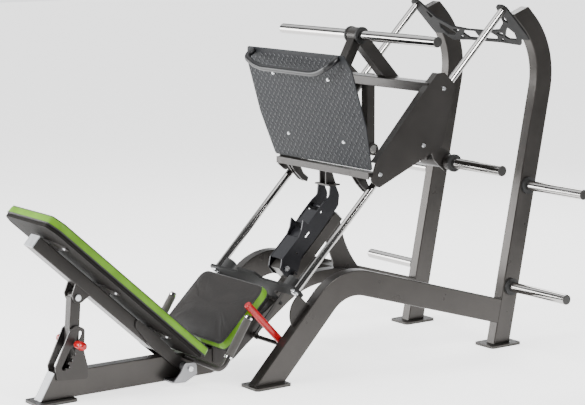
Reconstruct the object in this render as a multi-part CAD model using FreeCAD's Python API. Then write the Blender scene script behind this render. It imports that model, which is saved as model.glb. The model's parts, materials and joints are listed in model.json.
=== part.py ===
import FreeCAD, Part

import math
import os

from FreeCAD import Vector

# Plate-loaded 45 degree leg press, millimetres. X is the user's right, Y runs from the back pad towards
# the uprights, Z is up. Lengths along Y are measured from a working zero; ORIGIN_Y moves every finished
# shape so that the origin lies on the floor under the middle of the machine.

ORIGIN_Y = 7.375

# Sections of steel
TUBE_W = 60.0             # width of the main frame tubes, along X
WALL = 3.0                # wall of the main frame tubes
CORNER = 5.0              # outer corner radius of the main frame tubes
PLATE = 8.0               # general plate thickness
FOOT_PAD = 4.0            # rubber under each foot plate
BASE_Z = FOOT_PAD + PLATE  # height at which the frame tubes start

# Side frames
SIDE_X = 337.0            # middle of the arches and uprights
ARCH_DEPTH = 120.0
ARCH_BEND = 230.0
ARCH_FOOT_Y = -346.0
ARCH_CREST = (74.0, 453.5)
ARCH_REAR = (1060.0, 168.8)
POST_DEPTH = 102.0
POST_FRONT_Y = 1006.0
POST_LEAN = 0.2           # travel along Y for each unit of height
POST_BEND = 320.0         # radius of the front face at the curl
POST_TOP_FRONT_Z = 1634.0
POST_TOP_BACK_Z = 1672.0

# Guide rods: they rise at 45 degrees, Z = Y + ROD_RISE
ROD_X = 330.0
ROD_R = 17.5
ROD_RISE = 593.0
LOWER_PLATE_S = 177.5     # distance along the rods of the lower rod plate's upper face
UPPER_PLATE_S = 1926.0    # distance along the rods of the upper rod plate's lower face
ROD_PLATE = 10.0
FIT = 0.05                # radial running clearance

# Weight horns
HORN_R = 25.0
SPIGOT_R = 22.0          # root of a horn, inside its tube, collar and washer
WASHER = 12.0            # thickness of the rubber washers
WASHER_R = 42.0
CAP_FLANGE = 4.0
CAP_LENGTH = 30.0
CAP_PLUG_R = 18.0
HORN_END_X = 767.0
POST_HORN_Z = (290.0, 790.0)
SLED_HORN = (690.0, 950.0)
TOP_BAR = (426.0, 1548.0)
TOP_BAR_END_X = 612.0

# Sled
SLED_PLATE_X = 372.0
FOOT_TOP = (54.0, 1488.0)     # top edge of the footplate's front face
FOOT_BOTTOM = (219.0, 949.0)  # bottom edge of the footplate's front face
FOOT_THICK = 6.0
BEARING_S = (955.0, 1345.0)
BEARING_LEN = 110.0
BUSH_R = 23.0
HOUSING_R = 33.0

# Backrest: it hinges on PIVOT and leans back at BACK_ANGLE from the floor
PIVOT = (-612.0, 74.0)
PIVOT_R = 12.5
BACK_ANGLE = 41.8
BACK_TUBE_W = 80.0
STRUT_AT = (658.0, -70.0)     # strut pin, along the back and square to it
PEG = (-1165.0, 255.0)        # adjuster peg
PEG_R = 8.0
SLOT_TOP = (-1141.0, 297.0)
SLOT_BOTTOM = (-1224.0, 152.0)
SLOT_R = 12.0

# Seat: the top face climbs from SEAT_REAR at SEAT_ANGLE
SEAT_REAR = (-560.0, 195.0)
SEAT_ANGLE = 44.0
SEAT_HALF = 266.0
SEAT_LENGTH = 372.0
PAD_THICK = 52.0

# Safety stop and its release
STOP_HINGE = (-30.0, 465.0)
STOP_X = 44.0
STOP_PLATE = 8.0
RELEASE = (-205.0, 159.0)
RELEASE_X = 285.0
RELEASE_R = 10.0

parts = {}


def box(x0, x1, y0, y1, z0, z1):
    return Part.makeBox(x1 - x0, y1 - y0, z1 - z0, Vector(x0, y0, z0))


def rod(start, end, radius):
    start = Vector(*start)
    along = Vector(*end) - start
    return Part.makeCylinder(radius, along.Length, start, along)


def cross_rod(x0, x1, at, radius):
    """A cylinder along X whose axis passes through at = (y, z)."""
    return rod((x0, at[0], at[1]), (x1, at[0], at[1]), radius)


def ring(x0, x1, at, outer, inner):
    return cross_rod(x0, x1, at, outer).cut(cross_rod(x0 - 1, x1 + 1, at, inner))


def rounded_edges(points, radii, closed=True):
    """Straight runs joined by tangent arcs; radii holds one radius for each point."""
    count = len(points)
    starts = []
    ends = []
    arcs = []
    for i, corner in enumerate(points):
        radius = radii[i]
        if radius <= 0 or (not closed and i in (0, count - 1)):
            starts.append(corner)
            ends.append(corner)
            arcs.append(None)
            continue
        back = (points[i - 1] - corner).normalize()
        ahead = (points[(i + 1) % count] - corner).normalize()
        half = math.acos(max(-1.0, min(1.0, back.dot(ahead)))) / 2
        reach = radius / math.tan(half)
        middle = (back + ahead).normalize()
        centre = corner + middle * (radius / math.sin(half))
        starts.append(corner + back * reach)
        ends.append(corner + ahead * reach)
        arcs.append(centre - middle * radius)
    edges = []
    for i in range(count):
        if arcs[i] is not None:
            edges.append(Part.Arc(starts[i], arcs[i], ends[i]).toShape())
        if i < count - 1 or closed:
            following = starts[(i + 1) % count]
            if (following - ends[i]).Length > 1e-6:
                edges.append(Part.LineSegment(ends[i], following).toShape())
    return edges


def prism(x0, x1, outline, radius=0.0):
    """A plate whose (y, z) outline is drawn out along X; radius is one value or one for each point."""
    radii = radius if isinstance(radius, (list, tuple)) else [radius] * len(outline)
    points = [Vector(x0, y, z) for y, z in outline]
    wire = Part.Wire(rounded_edges(points, radii))
    return Part.Face(wire).extrude(Vector(x1 - x0, 0, 0))


def offset_path(path, distance):
    """The (y, z) path moved sideways by distance, with mitred corners."""
    moved = []
    for i, (y, z) in enumerate(path):
        normals = []
        for a, b in ((i - 1, i), (i, i + 1)):
            if a < 0 or b >= len(path):
                continue
            dy = path[b][0] - path[a][0]
            dz = path[b][1] - path[a][1]
            length = math.hypot(dy, dz)
            normals.append((-dz / length, dy / length))
        ny = sum(n[0] for n in normals) / len(normals)
        nz = sum(n[1] for n in normals) / len(normals)
        scale = distance / (ny * ny + nz * nz)
        moved.append((y + ny * scale, z + nz * scale))
    return moved


def turn_of(path, i):
    """Positive where the path turns left at point i."""
    ay = path[i][0] - path[i - 1][0]
    az = path[i][1] - path[i - 1][1]
    by = path[i + 1][0] - path[i][0]
    bz = path[i + 1][1] - path[i][1]
    return ay * bz - az * by


def bent_solid(path, bend, depth, x0, x1):
    """A rectangular bar that follows a (y, z) centre line with bends of the given middle radii."""
    left = offset_path(path, depth / 2)
    right = offset_path(path, -depth / 2)
    left_radii = [0.0] * len(path)
    right_radii = [0.0] * len(path)
    for i in range(1, len(path) - 1):
        inside = -1 if turn_of(path, i) > 0 else 1
        left_radii[i] = bend[i - 1] + inside * depth / 2
        right_radii[i] = bend[i - 1] - inside * depth / 2
    return prism(x0, x1, left + right[::-1], left_radii + right_radii[::-1])


def soften(shape, ends, radius=CORNER):
    """Rounds the long edges on both flanks of a tube; ends lists the (y, z) middles of its open mouths."""
    chosen = []
    for edge in shape.Edges:
        middle = edge.CenterOfMass
        at_end = any(math.hypot(middle.y - y, middle.z - z) < 2.0 for y, z in ends)
        if edge.BoundBox.XLength < 1e-6 and not at_end:
            chosen.append(edge)
    return shape.makeFillet(radius, chosen)


def bent_tube(path, bend, depth, x0, x1, wall=WALL):
    """A hollow bent box tube, open at both ends."""
    outer = bent_solid(path, bend, depth, x0, x1)
    first = extended(path[1], path[0], 20.0)
    last = extended(path[-2], path[-1], 20.0)
    longer = [first] + list(path[1:-1]) + [last]
    inner = bent_solid(longer, bend, depth - 2 * wall, x0 + wall, x1 - wall)
    return outer, inner


def extended(start, end, extra):
    dy = end[0] - start[0]
    dz = end[1] - start[1]
    length = math.hypot(dy, dz)
    return (end[0] + dy / length * extra, end[1] + dz / length * extra)


def on_rod(along, square):
    """(y, z) of a point at a distance along the rods and square to them, towards the user."""
    root = math.sqrt(2)
    return ((along - square) / root - ROD_RISE / 2, (along + square) / root + ROD_RISE / 2)


def on_back(along, square):
    """(y, z) of a point along the backrest from its pivot, and square to it, towards the user."""
    angle = math.radians(BACK_ANGLE)
    y = PIVOT[0] - along * math.cos(angle) + square * math.sin(angle)
    z = PIVOT[1] + along * math.sin(angle) + square * math.cos(angle)
    return (y, z)


def on_seat(along, square):
    """(y, z) of a point up the seat from its rear edge, and square to its top face."""
    angle = math.radians(SEAT_ANGLE)
    y = SEAT_REAR[0] + along * math.cos(angle) - square * math.sin(angle)
    z = SEAT_REAR[1] + along * math.sin(angle) + square * math.cos(angle)
    return (y, z)


def on_foot(down, behind):
    """(y, z) of a point down the footplate from its top edge, and behind its front face."""
    dy = FOOT_BOTTOM[0] - FOOT_TOP[0]
    dz = FOOT_BOTTOM[1] - FOOT_TOP[1]
    length = math.hypot(dy, dz)
    uy = dy / length
    uz = dz / length
    return (FOOT_TOP[0] + uy * down - uz * behind, FOOT_TOP[1] + uz * down + uy * behind)


def slab(placer, x0, x1, along0, along1, square0, square1):
    """A block given in the axes of the rods, the backrest, the seat or the footplate."""
    turns = ((along0, square0), (along1, square0), (along1, square1), (along0, square1))
    corners = [placer(along, square) for along, square in turns]
    return prism(x0, x1, corners)


def sheet_shape(placer, outline, radii, square0, square1):
    """A flat plate whose outline is given as (x, along) and whose thickness lies along the square axis."""
    points = []
    for x, along in outline:
        y, z = placer(along, square0)
        points.append(Vector(x, y, z))
    base = placer(0.0, square0)
    top = placer(0.0, square1)
    wire = Part.Wire(rounded_edges(points, radii))
    return Part.Face(wire).extrude(Vector(0, top[0] - base[0], top[1] - base[1]))


def round_bar(points, bends, radius):
    """A round bar through 3-D points with tangent bends."""
    path = [Vector(*p) for p in points]
    spine = Part.Wire(rounded_edges(path, [0.0] + list(bends) + [0.0], closed=False))
    along = (path[1] - path[0]).normalize()
    profile = Part.Wire(Part.Circle(path[0], along, radius).toShape())
    return spine.makePipeShell([profile], True, False)


def mirrored(shape):
    return shape.mirror(Vector(0, 0, 0), Vector(1, 0, 0))


def group(*shapes):
    """Separate solids gathered into one shape."""
    solids = []
    for shape in shapes:
        solids.extend(shape.Solids)
    return Part.makeCompound(solids)


def both(*shapes):
    """The shapes and their mirror images as separate solids."""
    return group(*shapes, *(mirrored(shape) for shape in shapes))


def cap_screw(at, direction, radius, length, head_radius, head_height):
    """A button-head screw with a hexagon socket; at is the underside of its head."""
    start = Vector(*at)
    out = Vector(*direction).normalize()
    head = Part.makeCone(head_radius, head_radius * 0.72, head_height, start, out)
    shank = Part.makeCylinder(radius, length, start - out * length, out)
    socket = Part.makeCylinder(radius * 0.55, head_height * 0.6, start + out * head_height * 0.4, out)
    return head.fuse(shank).cut(socket)


# Side frames ------------------------------------------------------------------------------------------

def side_frames():
    x0 = SIDE_X - TUBE_W / 2
    x1 = SIDE_X + TUBE_W / 2
    bend_sum = UPPER_PLATE_S + ROD_PLATE
    front_sum = bend_sum * math.sqrt(2)
    back_sum = front_sum + POST_DEPTH * 0.95 * math.sqrt(2)
    front_0 = POST_FRONT_Y - POST_LEAN * BASE_Z
    back_0 = front_0 + POST_DEPTH
    front_knee_z = (front_sum - front_0) / (1 + POST_LEAN)
    back_knee_z = (back_sum - back_0) / (1 + POST_LEAN)
    outline = [
        (POST_FRONT_Y, BASE_Z),
        (POST_FRONT_Y + POST_DEPTH, BASE_Z),
        (back_0 + POST_LEAN * back_knee_z, back_knee_z),
        (back_sum - POST_TOP_BACK_Z, POST_TOP_BACK_Z),
        (front_sum - POST_TOP_FRONT_Z, POST_TOP_FRONT_Z),
        (front_0 + POST_LEAN * front_knee_z, front_knee_z),
    ]
    post_outer = prism(x0, x1, outline, [0, 0, POST_BEND + 95, 6, 6, POST_BEND])
    face = post_outer.Faces
    wall_face = min(face, key=lambda f: f.CenterOfMass.x)
    inner = wall_face.makeOffset2D(-WALL).extrude(Vector(TUBE_W - 2 * WALL, 0, 0))
    inner.translate(Vector(WALL, 0, 0))
    mouth = box(x0 + WALL, x1 - WALL, POST_FRONT_Y + 5, POST_FRONT_Y + POST_DEPTH - 4, BASE_Z - 5, BASE_Z + 8)
    post_solid = soften(post_outer, [(POST_FRONT_Y + POST_DEPTH / 2, BASE_Z)])
    post = post_solid.cut(inner).cut(mouth)

    slope = (ARCH_CREST[1] - BASE_Z) / (ARCH_CREST[0] - ARCH_FOOT_Y)
    foot = (ARCH_FOOT_Y - 90 / slope, BASE_Z - 90)
    path = [foot, ARCH_CREST, ARCH_REAR]
    arch_outer, arch_inner = bent_tube(path, [ARCH_BEND], ARCH_DEPTH, x0, x1)
    arch_solid = soften(arch_outer, [path[0], path[-1]])
    below = box(x0 - 5, x1 + 5, -900, 900, -400, BASE_Z)
    arch = arch_solid.cut(arch_inner).cut(below).cut(post_outer)
    arch_solid = arch_solid.cut(below).cut(post_outer)
    return post, post_outer, arch, arch_solid


def horn_y(z):
    return POST_FRONT_Y + POST_LEAN * (z - BASE_Z) + POST_DEPTH / 2


def weight_horn(x_root, x_shoulder, x_end, at):
    """A chrome bar with a turned-down root and a bore for its end cap."""
    spigot = cross_rod(x_root, x_shoulder, at, SPIGOT_R)
    bar = cross_rod(x_shoulder, x_end - CAP_FLANGE, at, HORN_R)
    return spigot.fuse(bar).cut(cross_rod(x_end - CAP_LENGTH - 4.0, x_end + 5.0, at, CAP_PLUG_R))


def storage_horns(x_root):
    """Chrome weight horns on the outer faces of the uprights, each with a rubber washer and an end cap."""
    horns = []
    washers = []
    caps = []
    for z in POST_HORN_Z:
        at = (horn_y(z), z)
        horns.append(both(weight_horn(x_root, x_root + WASHER, HORN_END_X, at)))
        washers.append(both(ring(x_root, x_root + WASHER, at, WASHER_R, SPIGOT_R)))
        caps.append(both(end_cap(HORN_END_X, at)))
    return group(*horns), group(*washers), group(*caps)


def end_cap(x_end, at):
    """A plug with a domed flange, pressed into the bore at a horn's end."""
    flange = cross_rod(x_end - CAP_FLANGE, x_end, at, HORN_R - 0.5)
    rim = [e for e in flange.Edges if abs(e.BoundBox.XMin - x_end) < 1e-6 and e.BoundBox.YLength > HORN_R]
    return flange.makeFillet(2.5, rim).fuse(cross_rod(x_end - CAP_LENGTH, x_end - CAP_FLANGE, at, CAP_PLUG_R))


# Base and centre --------------------------------------------------------------------------------------

BEAM_FRONT_Y = -440.0
BEAM_TOP_Z = BASE_Z + 120.0
BEAM_REAR = ((-1338.0, BASE_Z), (-1268.0, BEAM_TOP_Z))
CENTRE_DEPTH = 60.0
CENTRE_PATH = [(BEAM_FRONT_Y - 80, 42.0), (-405.0, 42.0), (89.0, 396.0), (300.0, 396.0), (450.0, 360.0)]
CENTRE_BENDS = [200.0, 440.0, 300.0]
CROSS_Y = (415.0, 485.0)
CROSS_Z = (322.0, 388.0)
SPINE_RISE = 380.0
SPINE_DEPTH = 55.0
SPINE_HALF = 27.5
SPINE_TOP_Y = 300.0


def base_beam():
    outline = [BEAM_REAR[0], (BEAM_FRONT_Y, BASE_Z), (BEAM_FRONT_Y, BEAM_TOP_Z), BEAM_REAR[1]]
    outer = prism(-TUBE_W / 2, TUBE_W / 2, outline)
    inner_outline = [
        (BEAM_REAR[0][0] - 10, BASE_Z + WALL),
        (BEAM_FRONT_Y - WALL, BASE_Z + WALL),
        (BEAM_FRONT_Y - WALL, BEAM_TOP_Z - WALL),
        (BEAM_REAR[1][0] - 20, BEAM_TOP_Z - WALL),
    ]
    inner = prism(-TUBE_W / 2 + WALL, TUBE_W / 2 - WALL, inner_outline)
    mouth = ((BEAM_REAR[0][0] + BEAM_REAR[1][0]) / 2, (BEAM_REAR[0][1] + BEAM_REAR[1][1]) / 2)
    beam = soften(outer, [mouth, (BEAM_FRONT_Y, (BASE_Z + BEAM_TOP_Z) / 2)]).cut(inner)
    return beam.cut(cross_rod(-60, 60, PIVOT, PIVOT_R))


def rear_cap():
    """The light cap that closes the beam's slanted rear end."""
    (y0, z0), (y1, z1) = BEAM_REAR
    length = math.hypot(y1 - y0, z1 - z0)
    ny = -(z1 - z0) / length
    nz = (y1 - y0) / length
    thick = 4.0
    outline = [(y0, z0), (y1, z1), (y1 + ny * thick, z1 + nz * thick), (y0 + ny * thick, z0 + nz * thick)]
    cap = prism(-TUBE_W / 2, TUBE_W / 2, outline)
    return cap.cut(box(-50, 50, -1500, -1200, -50, BASE_Z))


def centre_arch():
    outer, inner = bent_tube(CENTRE_PATH, CENTRE_BENDS, CENTRE_DEPTH, -TUBE_W / 2, TUBE_W / 2)
    solid = soften(outer, [CENTRE_PATH[0], CENTRE_PATH[-1]])
    keep = box(-60, 60, BEAM_FRONT_Y, CROSS_Y[0], 0, 600)
    bore = cross_rod(-80, 80, RELEASE, RELEASE_R)
    return solid.cut(inner).common(keep).cut(bore), outer.common(keep)


def cross_tube():
    x1 = SIDE_X - TUBE_W / 2
    outer = box(-x1, x1, CROSS_Y[0], CROSS_Y[1], CROSS_Z[0], CROSS_Z[1])
    long_edges = [e for e in outer.Edges if e.BoundBox.XLength > 100]
    inner = box(-x1 - 1, x1 + 1, CROSS_Y[0] + WALL, CROSS_Y[1] - WALL, CROSS_Z[0] + WALL, CROSS_Z[1] - WALL)
    return outer.makeFillet(CORNER, long_edges).cut(inner)


def spine(centre_solid):
    """The straight box tube behind the safety stop, parallel to the rods."""
    start = (-78.0, -78.0 + SPINE_RISE)
    end = (SPINE_TOP_Y, SPINE_TOP_Y + SPINE_RISE)
    outer, inner = bent_tube([start, end], [], SPINE_DEPTH, -SPINE_HALF, SPINE_HALF)
    tube = soften(outer, [start, end]).cut(inner).cut(centre_solid)
    tube = max(tube.Solids, key=lambda s: s.Volume)
    cap_end = extended(start, end, 5.0)
    cap = bent_solid([end, cap_end], [], SPINE_DEPTH, -SPINE_HALF, SPINE_HALF)
    return tube, soften(cap, [], 2.0), outer


def spine_gusset(centre_solid, spine_outer):
    """The curved web that ties the spine to the centre arch and the cross tube."""
    offset = SPINE_RISE - SPINE_DEPTH / math.sqrt(2)
    top = Vector(0, 322.0, 322.0 + offset)
    start = Vector(0, 236.0, 236.0 + offset)
    end = Vector(0, 460.0, CROSS_Z[1])
    inner_low = Vector(0, 300.0, 400.0)
    edges = [
        Part.LineSegment(start, top).toShape(),
        Part.Arc(top, Vector(0, 368.0, 515.0), end).toShape(),
        Part.LineSegment(end, Vector(0, 416.0, CROSS_Z[1])).toShape(),
        Part.LineSegment(Vector(0, 416.0, CROSS_Z[1]), inner_low).toShape(),
        Part.LineSegment(inner_low, start).toShape(),
    ]
    web = Part.Face(Part.Wire(edges)).extrude(Vector(10, 0, 0))
    web.translate(Vector(-5, 0, 0))
    web = web.cut(centre_solid).cut(spine_outer)
    return max(web.Solids, key=lambda s: s.Volume)


# Rod plates -------------------------------------------------------------------------------------------

def rod_sheet(outline, radii, along0, along1):
    """A plate square to the rods; its outline is given as (x, distance square to the rods)."""
    points = []
    for x, square in outline:
        y, z = on_rod(along0, square)
        points.append(Vector(x, y, z))
    base = on_rod(along0, 0.0)
    top = on_rod(along1, 0.0)
    wire = Part.Wire(rounded_edges(points, radii))
    return Part.Face(wire).extrude(Vector(0, top[0] - base[0], top[1] - base[1]))


def symmetric(half, half_radii):
    """Completes an outline whose right half is listed from the top middle to the bottom middle."""
    left = [(-x, a) for x, a in reversed(half)]
    return half + left, list(half_radii) + list(reversed(half_radii))


def on_rod_bar(x, along0, along1, radius, square=0.0):
    y0, z0 = on_rod(along0, square)
    y1, z1 = on_rod(along1, square)
    return rod((x, y0, z0), (x, y1, z1), radius)


def lower_plate():
    half = [
        (72, 78), (100, 38), (366, 38), (366, -42), (120, -42), (70, -86), (46, -178),
    ]
    radii = [14, 14, 38, 38, 20, 30, 8]
    outline, all_radii = symmetric(half, radii)
    plate = rod_sheet(outline, all_radii, LOWER_PLATE_S - ROD_PLATE, LOWER_PLATE_S)
    for x in (-ROD_X, ROD_X):
        plate = plate.cut(on_rod_bar(x, LOWER_PLATE_S - 50, LOWER_PLATE_S + 50, ROD_R))
    return plate


def upper_plate():
    """The laser-cut plate that hangs between the uprights and holds the rods' upper ends."""
    half = [
        (70, -172), (176, -158), (258, -96), (298, 30), (364, 30), (364, -215), (296, -215), (262, -262),
        (120, -252),
    ]
    radii = [20, 24, 30, 28, 28, 10, 12, 18, 20]
    outline, all_radii = symmetric(half, radii)
    plate = rod_sheet(outline, all_radii, UPPER_PLATE_S, UPPER_PLATE_S + ROD_PLATE)
    windows = [
        ([(20, -178), (100, -178), (132, -206), (104, -236), (20, -236)], 8),
        ([(128, -176), (196, -176), (176, -200)], 5),
        ([(216, -172), (262, -128), (284, -170), (262, -222), (206, -222), (186, -206)], 8),
        ([(132, -238), (154, -218), (182, -240)], 4),
        ([(272, -84), (296, -30), (300, -104)], 6),
    ]
    for corners, radius in windows:
        for sign in (1, -1):
            shape = [(sign * x, a) for x, a in corners]
            hole = rod_sheet(shape, [radius] * len(shape), UPPER_PLATE_S - 5, UPPER_PLATE_S + ROD_PLATE + 5)
            plate = plate.cut(hole)
    for x in (-ROD_X, ROD_X):
        plate = plate.cut(on_rod_bar(x, UPPER_PLATE_S - 50, UPPER_PLATE_S + 50, 8.0))
    return plate


def rod_gusset(arch_solid):
    """The crescent web and its rear flange that carry a rod's lower end on the arch."""
    front = Vector(0, -160.0, 404.0)
    belly = Vector(0, -208.0, 345.0)
    toe = Vector(0, -190.0, 240.0)
    heel = Vector(0, -40.0, 310.0)
    crown = Vector(0, -110.0, 354.0)
    edges = [
        Part.Arc(front, belly, toe).toShape(),
        Part.LineSegment(toe, heel).toShape(),
        Part.LineSegment(heel, crown).toShape(),
        Part.LineSegment(crown, front).toShape(),
    ]
    web = Part.Face(Part.Wire(edges)).extrude(Vector(8, 0, 0))
    web.translate(Vector(SIDE_X - 4, 0, 0))
    flange = prism(SIDE_X - 24, SIDE_X + 24, [(-110, 354), (-40, 310), (-36, 317), (-104, 360)])
    below = rod_sheet([(200, 300), (460, 300), (460, -400), (200, -400)], [0] * 4,
                      LOWER_PLATE_S - ROD_PLATE, LOWER_PLATE_S + 300)
    return web.fuse(flange).cut(arch_solid).cut(below)


def guide_rods():
    shape = on_rod_bar(ROD_X, LOWER_PLATE_S - ROD_PLATE, UPPER_PLATE_S, ROD_R)
    bore = on_rod_bar(ROD_X, UPPER_PLATE_S - 40, UPPER_PLATE_S + 1, 8.0)
    low_bore = on_rod_bar(ROD_X, LOWER_PLATE_S - ROD_PLATE - 1, LOWER_PLATE_S + 30, 8.0)
    return shape.cut(bore).cut(low_bore)


def rod_screws():
    """Screws and washers that clamp both ends of each rod."""
    shapes = []
    for along, sign in ((UPPER_PLATE_S + ROD_PLATE, 1), (LOWER_PLATE_S - ROD_PLATE, -1)):
        washer = on_rod_bar(ROD_X, along, along + sign * 4, 22.0)
        head = on_rod_bar(ROD_X, along + sign * 4, along + sign * 12, 13.0)
        shank = on_rod_bar(ROD_X, along, along - sign * 36, 8.0)
        shapes.append(both(washer.fuse(head).fuse(shank)))
    return group(*shapes)


BUMPER_X = 262.0


def bumpers():
    """Rubber buffers on the lower rod plate, below the claws of the sled."""
    shapes = []
    outer = on_rod_bar(BUMPER_X, LOWER_PLATE_S, LOWER_PLATE_S + 58, 30.0)
    top = [e for e in outer.Edges if e.Length > 150 and e.CenterOfMass.z > outer.CenterOfMass.z]
    shapes.append(both(outer.makeFillet(6.0, top)))
    return group(*shapes)


# Feet -------------------------------------------------------------------------------------------------

def foot_plate(x_mid, y0, y1, half_width):
    plate = box(x_mid - half_width, x_mid + half_width, y0, y1, FOOT_PAD, BASE_Z)
    corners = [e for e in plate.Edges if e.BoundBox.ZLength > PLATE - 1]
    return plate.makeFillet(18.0, corners).cut(anchor_holes(x_mid, y0, y1, half_width))


def anchor_holes(x_mid, y0, y1, half_width):
    holes = []
    for x in (x_mid - half_width + 18, x_mid + half_width - 18):
        for y in (y0 + 18, y1 - 18):
            holes.append(rod((x, y, -5), (x, y, 30), 5.5))
    return group(*holes)


def foot_pad(x_mid, y0, y1, half_width):
    pad = box(x_mid - half_width, x_mid + half_width, y0, y1, 0.0, FOOT_PAD)
    corners = [e for e in pad.Edges if e.BoundBox.ZLength > FOOT_PAD - 1]
    return pad.makeFillet(18.0, corners).cut(anchor_holes(x_mid, y0, y1, half_width))


def feet():
    spots = [(SIDE_X, 960.0, 1152.0, 70.0), (SIDE_X, -446.0, -250.0, 70.0), (0.0, -1371.0, -1172.0, 70.0)]
    plates = []
    pads = []
    for x, y0, y1, half in spots:
        if x == 0.0:
            plates.append(foot_plate(x, y0, y1, half))
            pads.append(foot_pad(x, y0, y1, half))
        else:
            plates.append(both(foot_plate(x, y0, y1, half)))
            pads.append(both(foot_pad(x, y0, y1, half)))
    parts["foot_plates"] = group(*plates)
    parts["rubber_feet"] = group(*pads)


# Seat -------------------------------------------------------------------------------------------------

BOARD = 14.0
RAIL = 30.0
PEDESTAL_X = TUBE_W / 2


def seat():
    pad_outline = [(-SEAT_HALF, 14), (SEAT_HALF, 14), (SEAT_HALF, SEAT_LENGTH), (-SEAT_HALF, SEAT_LENGTH)]
    pad_radii = [30, 30, 55, 55]
    pad = sheet_shape(on_seat, pad_outline, pad_radii, -PAD_THICK, 0.0)
    inset = 9.0
    half = SEAT_HALF - inset
    board_outline = [(-half, 14 + inset), (half, 14 + inset), (half, SEAT_LENGTH - inset),
                     (-half, SEAT_LENGTH - inset)]
    board = sheet_shape(on_seat, board_outline, [24, 24, 48, 48], -PAD_THICK - BOARD, -PAD_THICK)
    under = -PAD_THICK - BOARD
    rails = []
    for x in (-150.0, 150.0):
        rails.append(slab(on_seat, x - RAIL / 2, x + RAIL / 2, 60.0, 340.0, under - RAIL, under))
    for along in (90.0, 300.0):
        rails.append(slab(on_seat, -135.0, 135.0, along - 15, along + 15, under - RAIL, under))
    parts["seat_pad"] = pad
    parts["seat_board"] = board
    foot = [(BEAM_FRONT_Y + 2, 60.0), on_seat(72, under - RAIL), on_seat(335, under - RAIL), (-150.0, 262.0),
            (-170.0, 190.0), (-330.0, 60.0)]
    plate = prism(PEDESTAL_X, PEDESTAL_X + 6, foot, [10, 0, 0, 60, 30, 60])
    plate = plate.cut(cross_rod(0, 80, RELEASE, RELEASE_R + 4))
    parts["seat_frame"] = group(rails[0].fuse(rails[1:]), both(plate))


GRIP_X = 322.0
GRIP_LOW = (-545.0, 155.0)
GRIP_HIGH = (-430.0, 328.0)
GRIP_R = 18.0
HANDLE_R = 13.5


def seat_handles():
    """Bent round tubes that rise beside the seat, with foam grips between two bright rings."""
    dy = GRIP_HIGH[0] - GRIP_LOW[0]
    dz = GRIP_HIGH[1] - GRIP_LOW[1]
    length = math.hypot(dy, dz)
    unit = (dy / length, dz / length)

    def at(distance):
        return (GRIP_X, GRIP_LOW[0] + unit[0] * distance, GRIP_LOW[1] + unit[1] * distance)

    elbow = at(-62.0)
    root = (TUBE_W / 2, elbow[1] - 10.0, elbow[2] + 12.0)
    tube = round_bar([root, elbow, at(length + 8)], [40.0], HANDLE_R)
    grip = rod(at(9.0), at(length - 9.0), GRIP_R).cut(rod(at(0.0), at(length), HANDLE_R))
    rings = []
    for start, end in ((0.0, 9.0), (length - 9.0, length)):
        rings.append(rod(at(start), at(end), GRIP_R + 1.5).cut(rod(at(start - 2), at(end + 2), HANDLE_R)))
    beam = box(-TUBE_W / 2, TUBE_W / 2, -1000, 0, BASE_Z, BEAM_TOP_Z)
    parts["seat_handles"] = both(tube.cut(beam))
    parts["seat_handle_grips"] = group(both(grip))
    parts["seat_handle_rings"] = group(both(rings[0]), both(rings[1]))


# Backrest ---------------------------------------------------------------------------------------------

ARM_GAP = 0.5
BACK_LOW = 30.0
BACK_HIGH = 1080.0
BACK_HALF = 228.0


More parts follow.
